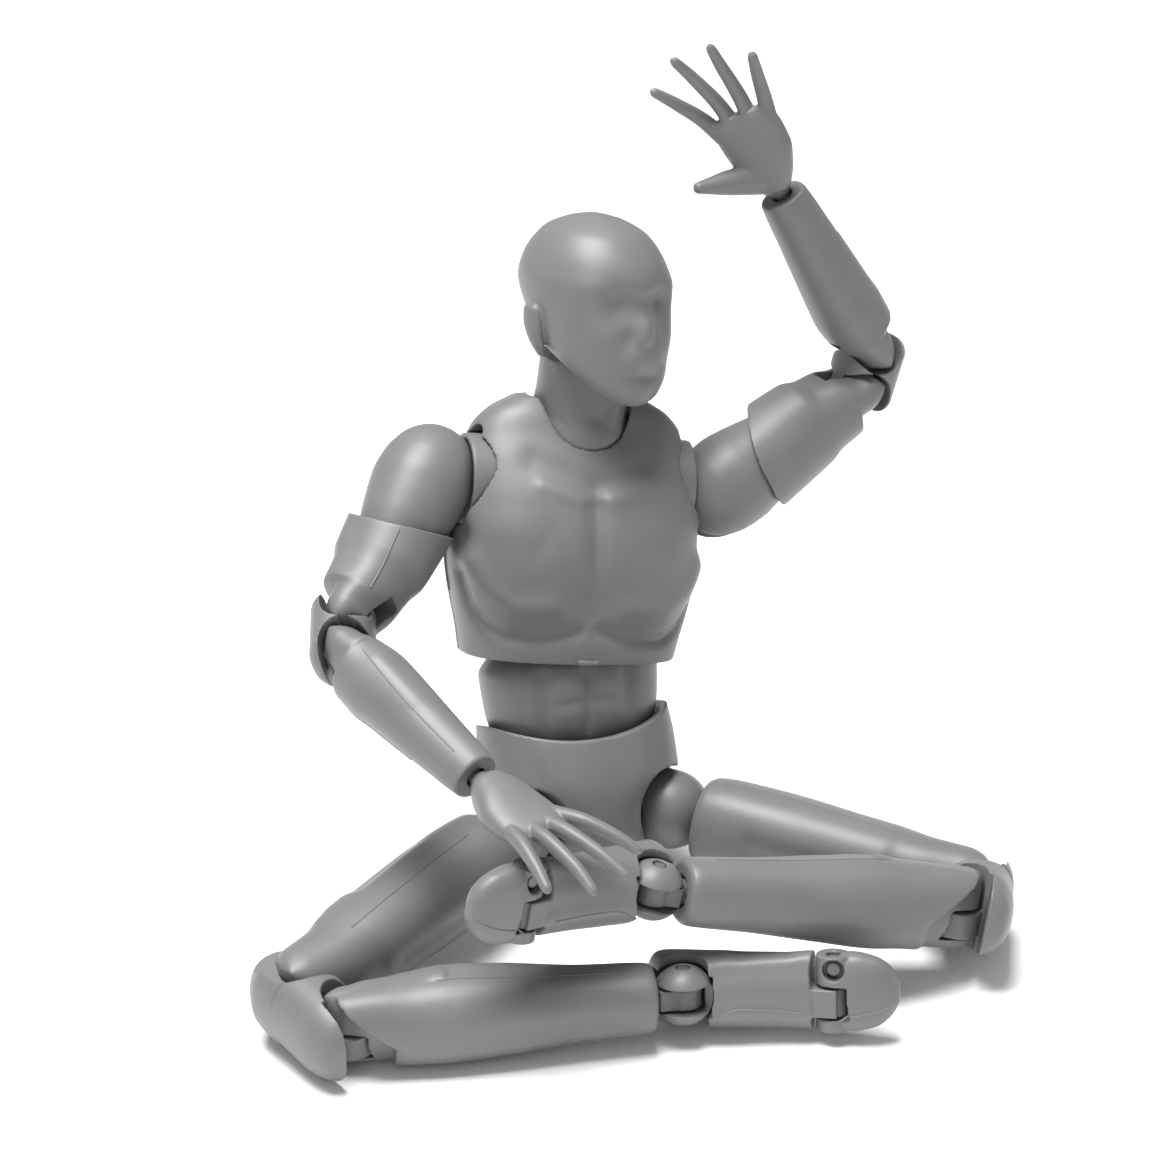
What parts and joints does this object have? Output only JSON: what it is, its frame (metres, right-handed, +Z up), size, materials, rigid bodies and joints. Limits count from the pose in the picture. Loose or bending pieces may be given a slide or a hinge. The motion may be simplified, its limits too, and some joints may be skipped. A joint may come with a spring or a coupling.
{
  "type": "articulated drawing mannequin",
  "caption": "Jointed human body figure for drawing practice, moulded in plain grey plastic, posed sitting cross-legged with one arm raised.",
  "frame": {"origin": "on the ground, under the middle of the seated figure", "axes": "+Z up; the figure faces -Y, so its own right side lies towards -X"},
  "size_m": [0.087, 0.0664, 0.0902],
  "materials": {
    "body_plastic": "satin",
    "joint_plastic": "satin",
    "pin_plastic": "satin"
  },
  "bodies": {
    "pelvis": {"pelvis": "body_plastic"},
    "waist_ball": {"waist_ball": "joint_plastic"},
    "abdomen": {"abdomen": "body_plastic"},
    "chest_ball": {"chest_ball": "joint_plastic"},
    "chest": {"chest_front": "body_plastic", "chest_back": "body_plastic"},
    "neck_ball": {"neck_ball": "joint_plastic"},
    "neck": {"neck": "body_plastic"},
    "head_ball": {"head_ball": "joint_plastic"},
    "head": {"head": "body_plastic"},
    "right_shoulder_block": {"right_shoulder_block": "body_plastic"},
    "right_shoulder_swivel": {"right_shoulder_swivel": "joint_plastic"},
    "right_deltoid": {"right_deltoid": "body_plastic", "right_shoulder_pin": "pin_plastic"},
    "right_upper_arm": {"right_upper_arm": "body_plastic"},
    "right_elbow_link": {"right_elbow_link": "body_plastic", "right_elbow_pin_upper": "pin_plastic", "right_elbow_pin_lower": "pin_plastic"},
    "right_forearm": {"right_forearm": "body_plastic"},
    "right_wrist_peg": {"right_wrist_peg": "joint_plastic"},
    "right_hand": {"right_hand": "body_plastic"},
    "left_shoulder_block": {"left_shoulder_block": "body_plastic"},
    "left_shoulder_swivel": {"left_shoulder_swivel": "joint_plastic"},
    "left_deltoid": {"left_deltoid": "body_plastic", "left_shoulder_pin": "pin_plastic"},
    "left_upper_arm": {"left_upper_arm": "body_plastic"},
    "left_elbow_link": {"left_elbow_link": "body_plastic", "left_elbow_pin_upper": "pin_plastic", "left_elbow_pin_lower": "pin_plastic"},
    "left_forearm": {"left_forearm": "body_plastic"},
    "left_wrist_peg": {"left_wrist_peg": "joint_plastic"},
    "left_hand": {"left_hand": "body_plastic"},
    "right_hip_post": {"right_hip_post": "joint_plastic"},
    "right_hip_ball": {"right_hip_ball": "body_plastic"},
    "right_thigh": {"right_thigh": "body_plastic"},
    "right_knee_link": {"right_knee_link": "body_plastic", "right_knee_pin_upper": "pin_plastic", "right_knee_pin_lower": "pin_plastic"},
    "right_shin": {"right_shin": "body_plastic"},
    "right_ankle_post": {"right_ankle_post": "joint_plastic"},
    "right_ankle_ball": {"right_ankle_ball": "body_plastic", "right_ankle_pin": "pin_plastic"},
    "right_foot": {"right_foot": "body_plastic"},
    "right_toe": {"right_toe": "body_plastic", "right_toe_pin": "pin_plastic"},
    "left_hip_post": {"left_hip_post": "joint_plastic"},
    "left_hip_ball": {"left_hip_ball": "body_plastic"},
    "left_thigh": {"left_thigh": "body_plastic"},
    "left_knee_link": {"left_knee_link": "body_plastic", "left_knee_pin_upper": "pin_plastic", "left_knee_pin_lower": "pin_plastic"},
    "left_shin": {"left_shin": "body_plastic"},
    "left_ankle_post": {"left_ankle_post": "joint_plastic"},
    "left_ankle_ball": {"left_ankle_ball": "body_plastic", "left_ankle_pin": "pin_plastic"},
    "left_foot": {"left_foot": "body_plastic"},
    "left_toe": {"left_toe": "body_plastic", "left_toe_pin": "pin_plastic"}
  },
  "joints": [
    {"name": "waist_ball_turn", "type": "hinge", "parent": "pelvis", "child": "waist_ball", "pos_m": [0.00053, 0.01334, 0.01621], "axis": [0.0349, 0.4065, 0.913], "range_deg": [-6, 9]},
    {"name": "abdomen_hinge", "type": "hinge", "parent": "waist_ball", "child": "abdomen", "pos_m": [0.00053, 0.01334, 0.01621], "axis": [0.9988, -0.0461, -0.0177], "range_deg": [-12, 1]},
    {"name": "chest_ball_turn", "type": "hinge", "parent": "abdomen", "child": "chest_ball", "pos_m": [0.00085, 0.01676, 0.0256], "axis": [0.0372, 0.9386, -0.3429], "range_deg": [-4, 6]},
    {"name": "chest_hinge", "type": "hinge", "parent": "chest_ball", "child": "chest", "pos_m": [0.00085, 0.01676, 0.0256], "axis": [0.9846, -0.0932, -0.1482], "range_deg": [-19, 1]},
    {"name": "neck_ball_turn", "type": "hinge", "parent": "chest", "child": "neck_ball", "pos_m": [0.00478, 0.0235, 0.04747], "axis": [-0.1672, -0.249, -0.954], "range_deg": [-30, 30]},
    {"name": "neck_hinge", "type": "hinge", "parent": "neck_ball", "child": "neck", "pos_m": [0.00478, 0.0235, 0.04747], "axis": [0.9846, -0.0932, -0.1482], "range_deg": [-22, 5]},
    {"name": "head_ball_turn", "type": "hinge", "parent": "neck", "child": "head_ball", "pos_m": [0.00603, 0.02303, 0.05602], "axis": [0.1542, 0.0605, 0.9862], "range_deg": [-81, 44]},
    {"name": "head_hinge", "type": "hinge", "parent": "head_ball", "child": "head", "pos_m": [0.00603, 0.02303, 0.05602], "axis": [-0.9535, -0.2523, 0.1646], "range_deg": [-7, 9]},
    {"name": "right_shoulder_block_turn", "type": "hinge", "parent": "chest", "child": "right_shoulder_block", "pos_m": [-0.00356, 0.02248, 0.04396], "axis": [-0.1672, -0.249, -0.954], "range_deg": [-2.5, 6]},
    {"name": "right_shoulder_swivel_turn", "type": "hinge", "parent": "right_shoulder_block", "child": "right_shoulder_swivel", "pos_m": [-0.01272, 0.02335, 0.04533], "axis": [0.9846, -0.0932, -0.1482], "range_deg": [-88, 0]},
    {"name": "right_deltoid_hinge", "type": "hinge", "parent": "right_shoulder_swivel", "child": "right_deltoid", "pos_m": [-0.01272, 0.02335, 0.04533], "axis": [0.0445, -0.6855, 0.7267], "range_deg": [-105, 5]},
    {"name": "right_upper_arm_hinge", "type": "hinge", "parent": "right_deltoid", "child": "right_upper_arm", "pos_m": [-0.01272, 0.02335, 0.04533], "axis": [0.6389, 0.5787, 0.5068], "range_deg": [-155, 1]},
    {"name": "right_elbow_link_hinge", "type": "hinge", "parent": "right_upper_arm", "child": "right_elbow_link", "pos_m": [-0.02473, 0.01247, 0.0358], "axis": [0.3455, 0.3728, -0.8612], "range_deg": [-46, 3]},
    {"name": "right_forearm_hinge", "type": "hinge", "parent": "right_elbow_link", "child": "right_forearm", "pos_m": [-0.02637, 0.00802, 0.03322], "axis": [0.3455, 0.3728, -0.8612], "range_deg": [-31, 4]},
    {"name": "right_wrist_peg_turn", "type": "hinge", "parent": "right_forearm", "child": "right_wrist_peg", "pos_m": [-0.01912, -0.01243, 0.02728], "axis": [-0.3224, 0.909, 0.2642], "range_deg": [-19, 40]},
    {"name": "right_hand_hinge", "type": "hinge", "parent": "right_wrist_peg", "child": "right_hand", "pos_m": [-0.01912, -0.01243, 0.02728], "axis": [-0.9448, -0.3264, -0.0296], "range_deg": [-5, 29]},
    {"name": "left_shoulder_block_turn", "type": "hinge", "parent": "chest", "child": "left_shoulder_block", "pos_m": [0.0114, 0.02106, 0.0417], "axis": [-0.1672, -0.249, -0.954], "range_deg": [-11, 2.5]},
    {"name": "left_shoulder_swivel_turn", "type": "hinge", "parent": "left_shoulder_block", "child": "left_shoulder_swivel", "pos_m": [0.02048, 0.01942, 0.04054], "axis": [-0.9763, 0.1769, 0.1249], "range_deg": [-113, 107]},
    {"name": "left_deltoid_hinge", "type": "hinge", "parent": "left_shoulder_swivel", "child": "left_deltoid", "pos_m": [0.02048, 0.01942, 0.04054], "axis": [-0.0965, -0.8718, 0.4803], "range_deg": [-91, 7]},
    {"name": "left_upper_arm_hinge", "type": "hinge", "parent": "left_deltoid", "child": "left_upper_arm", "pos_m": [0.02048, 0.01942, 0.04054], "axis": [0.8887, 0.1419, 0.4361], "range_deg": [-32, 158]},
    {"name": "left_elbow_link_hinge", "type": "hinge", "parent": "left_upper_arm", "child": "left_elbow_link", "pos_m": [0.03719, 0.02209, 0.04874], "axis": [-0.1176, 0.9896, -0.0825], "range_deg": [-9, 43]},
    {"name": "left_forearm_hinge", "type": "hinge", "parent": "left_elbow_link", "child": "left_forearm", "pos_m": [0.03907, 0.02273, 0.05376], "axis": [0.1176, -0.9896, 0.0825], "range_deg": [-50, 12]},
    {"name": "left_wrist_peg_turn", "type": "hinge", "parent": "left_forearm", "child": "left_wrist_peg", "pos_m": [0.02806, 0.02305, 0.07338], "axis": [-0.4891, 0.0145, 0.8721], "range_deg": [-51, 129]},
    {"name": "left_hand_hinge", "type": "hinge", "parent": "left_wrist_peg", "child": "left_hand", "pos_m": [0.02806, 0.02305, 0.07338], "axis": [-0.7456, 0.5118, -0.4268], "range_deg": [-35, 35]},
    {"name": "right_hip_post_turn", "type": "hinge", "parent": "pelvis", "child": "right_hip_post", "pos_m": [-0.00848, 0.00743, 0.00932], "axis": [-0.9994, 0.0142, 0.0319], "range_deg": [-92, 2.5]},
    {"name": "right_hip_ball_turn", "type": "hinge", "parent": "right_hip_post", "child": "right_hip_ball", "pos_m": [-0.00848, 0.00743, 0.00932], "axis": [-0.0275, 0.2421, -0.9699], "range_deg": [-1, 33]},
    {"name": "right_thigh_hinge", "type": "hinge", "parent": "right_hip_ball", "child": "right_thigh", "pos_m": [-0.00848, 0.00743, 0.00932], "axis": [0.8499, 0.5165, 0.1048], "range_deg": [-2.5, 217]},
    {"name": "right_knee_link_hinge", "type": "hinge", "parent": "right_thigh", "child": "right_knee_link", "pos_m": [-0.03738, -0.01013, 0.00576], "axis": [-0.0368, -0.1402, 0.9894], "range_deg": [-75, 1]},
    {"name": "right_shin_hinge", "type": "hinge", "parent": "right_knee_link", "child": "right_shin", "pos_m": [-0.03542, -0.01659, 0.00492], "axis": [-0.0368, -0.1402, 0.9894], "range_deg": [-61, 1]},
    {"name": "right_ankle_post_turn", "type": "hinge", "parent": "right_shin", "child": "right_ankle_post", "pos_m": [-0.00173, -0.02402, 0.00512], "axis": [-0.9765, 0.2153, -0.0059], "range_deg": [-63, 27]},
    {"name": "right_ankle_ball_turn", "type": "hinge", "parent": "right_ankle_post", "child": "right_ankle_ball", "pos_m": [-0.00173, -0.02402, 0.00512], "axis": [-0.0305, -0.1653, -0.9858], "range_deg": [-5, 100]},
    {"name": "right_foot_hinge", "type": "hinge", "parent": "right_ankle_ball", "child": "right_foot", "pos_m": [-0.00173, -0.02402, 0.00512], "axis": [0.8353, -0.5459, 0.0657], "range_deg": [-17, 23]},
    {"name": "right_toe_hinge", "type": "hinge", "parent": "right_foot", "child": "right_toe", "pos_m": [0.01277, -0.02928, 0.00536], "axis": [-0.0592, -0.2081, -0.9763], "range_deg": [-15, 36]},
    {"name": "left_hip_post_turn", "type": "hinge", "parent": "pelvis", "child": "left_hip_post", "pos_m": [0.00891, 0.00718, 0.00877], "axis": [-0.9994, 0.0142, 0.0319], "range_deg": [-2.5, 1]},
    {"name": "left_hip_ball_turn", "type": "hinge", "parent": "left_hip_post", "child": "left_hip_ball", "pos_m": [0.00891, 0.00718, 0.00877], "axis": [0.0308, -0.07, 0.9971], "range_deg": [-4, 44]},
    {"name": "left_thigh_hinge", "type": "hinge", "parent": "left_hip_ball", "child": "left_thigh", "pos_m": [0.00891, 0.00718, 0.00877], "axis": [0.7075, -0.7031, -0.0712], "range_deg": [-1, 2.5]},
    {"name": "left_knee_link_hinge", "type": "hinge", "parent": "left_thigh", "child": "left_knee_link", "pos_m": [0.03297, -0.01672, 0.00635], "axis": [0.2359, 0.14, 0.9616], "range_deg": [-5, 2.5]},
    {"name": "left_shin_hinge", "type": "hinge", "parent": "left_knee_link", "child": "left_shin", "pos_m": [0.02994, -0.0226, 0.00795], "axis": [-0.2359, -0.14, -0.9616], "range_deg": [-2.5, 14]},
    {"name": "left_ankle_post_turn", "type": "hinge", "parent": "left_shin", "child": "left_ankle_post", "pos_m": [-0.00356, -0.02007, 0.01579], "axis": [0.971, -0.0732, -0.2275], "range_deg": [-23, 35]},
    {"name": "left_ankle_ball_turn", "type": "hinge", "parent": "left_ankle_post", "child": "left_ankle_ball", "pos_m": [-0.00356, -0.02007, 0.01579], "axis": [0.2256, -0.0336, 0.9736], "range_deg": [-10, 95]},
    {"name": "left_foot_hinge", "type": "hinge", "parent": "left_ankle_ball", "child": "left_foot", "pos_m": [-0.00356, -0.02007, 0.01579], "axis": [-0.9074, -0.3711, 0.1974], "range_deg": [-19, 15]},
    {"name": "left_toe_hinge", "type": "hinge", "parent": "left_foot", "child": "left_toe", "pos_m": [-0.01852, -0.0223, 0.01886], "axis": [-0.1938, -0.0474, -0.9799], "range_deg": [-36, 15]}
  ]
}
